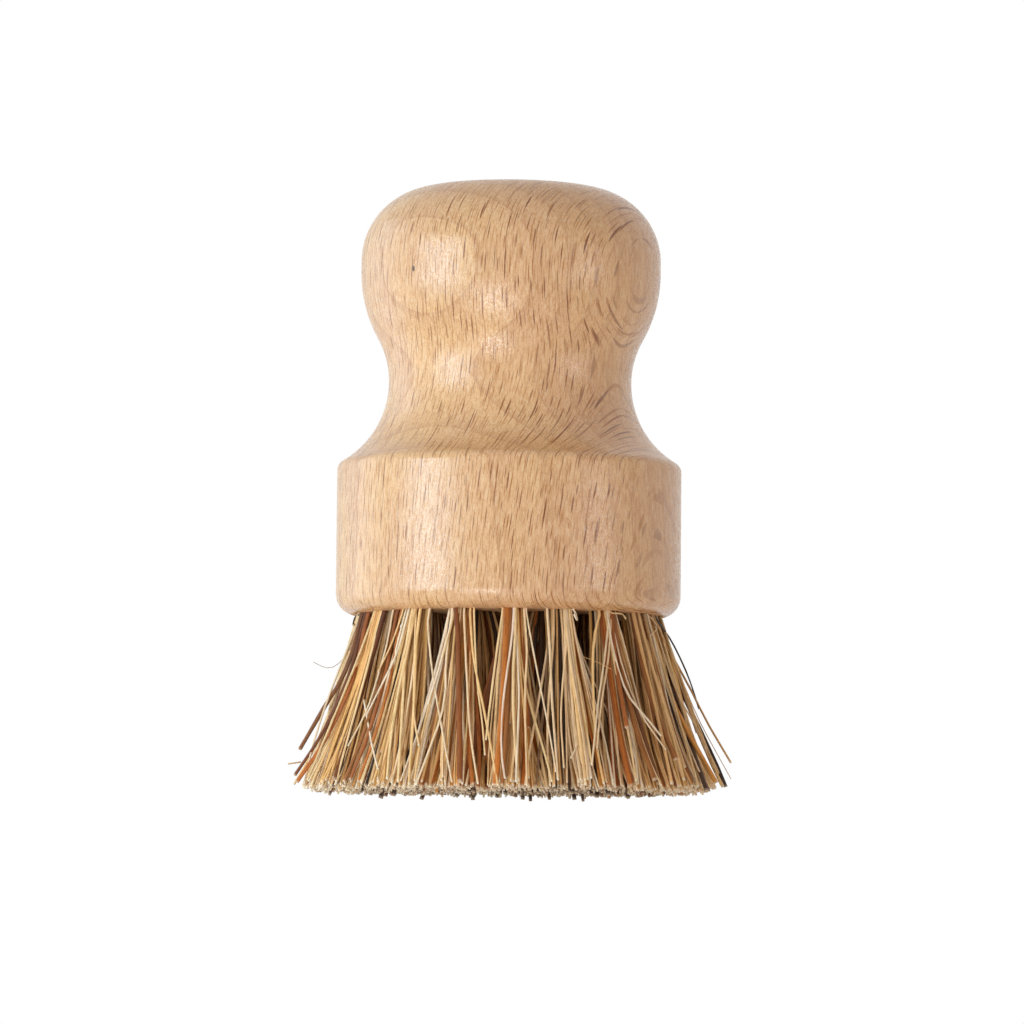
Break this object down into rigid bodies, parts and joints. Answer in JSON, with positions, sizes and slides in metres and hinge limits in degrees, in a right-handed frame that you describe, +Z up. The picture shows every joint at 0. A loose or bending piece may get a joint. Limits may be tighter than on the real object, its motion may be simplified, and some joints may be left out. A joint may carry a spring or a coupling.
{
  "type": "palm scrubbing brush",
  "caption": "Round palm-held scrubbing brush: a turned beech knob on a drum head filled with flaring tufts of stiff plant fibre.",
  "frame": {"origin": "on the turning axis, in the plane of the trimmed fibre tips", "axes": "+Z up the turning axis from the fibre tips to the crown of the knob; -Y is the side that the picture shows, and +X its right"},
  "size_m": [0.0699, 0.071, 0.1004],
  "materials": {
    "beech": "sanded and oiled, satin",
    "fibre": "stiff plant fibre, dull sheen",
    "steel": "drawn flat wire, bright"
  },
  "bodies": {
    "root": {"anchor_inner_01": "steel", "anchor_inner_02": "steel", "anchor_inner_03": "steel", "anchor_middle_01": "steel", "anchor_middle_02": "steel", "anchor_middle_03": "steel", "anchor_middle_04": "steel", "anchor_middle_05": "steel", "anchor_middle_06": "steel", "anchor_middle_07": "steel", "anchor_middle_08": "steel", "anchor_outer_01": "steel", "anchor_outer_02": "steel", "anchor_outer_03": "steel", "anchor_outer_04": "steel", "anchor_outer_05": "steel", "anchor_outer_06": "steel", "anchor_outer_07": "steel", "anchor_outer_08": "steel", "anchor_outer_09": "steel", "anchor_outer_10": "steel", "anchor_outer_11": "steel", "anchor_outer_12": "steel", "anchor_outer_13": "steel", "anchor_outer_14": "steel", "anchor_outer_15": "steel", "anchor_outer_16": "steel", "anchor_outer_17": "steel", "anchor_outer_18": "steel", "handle_block": "beech", "tuft_inner_01": "fibre", "tuft_inner_02": "fibre", "tuft_inner_03": "fibre", "tuft_middle_01": "fibre", "tuft_middle_02": "fibre", "tuft_middle_03": "fibre", "tuft_middle_04": "fibre", "tuft_middle_05": "fibre", "tuft_middle_06": "fibre", "tuft_middle_07": "fibre", "tuft_middle_08": "fibre", "tuft_outer_01": "fibre", "tuft_outer_02": "fibre", "tuft_outer_03": "fibre", "tuft_outer_04": "fibre", "tuft_outer_05": "fibre", "tuft_outer_06": "fibre", "tuft_outer_07": "fibre", "tuft_outer_08": "fibre", "tuft_outer_09": "fibre", "tuft_outer_10": "fibre", "tuft_outer_11": "fibre", "tuft_outer_12": "fibre", "tuft_outer_13": "fibre", "tuft_outer_14": "fibre", "tuft_outer_15": "fibre", "tuft_outer_16": "fibre", "tuft_outer_17": "fibre", "tuft_outer_18": "fibre"}
  },
  "joints": []
}
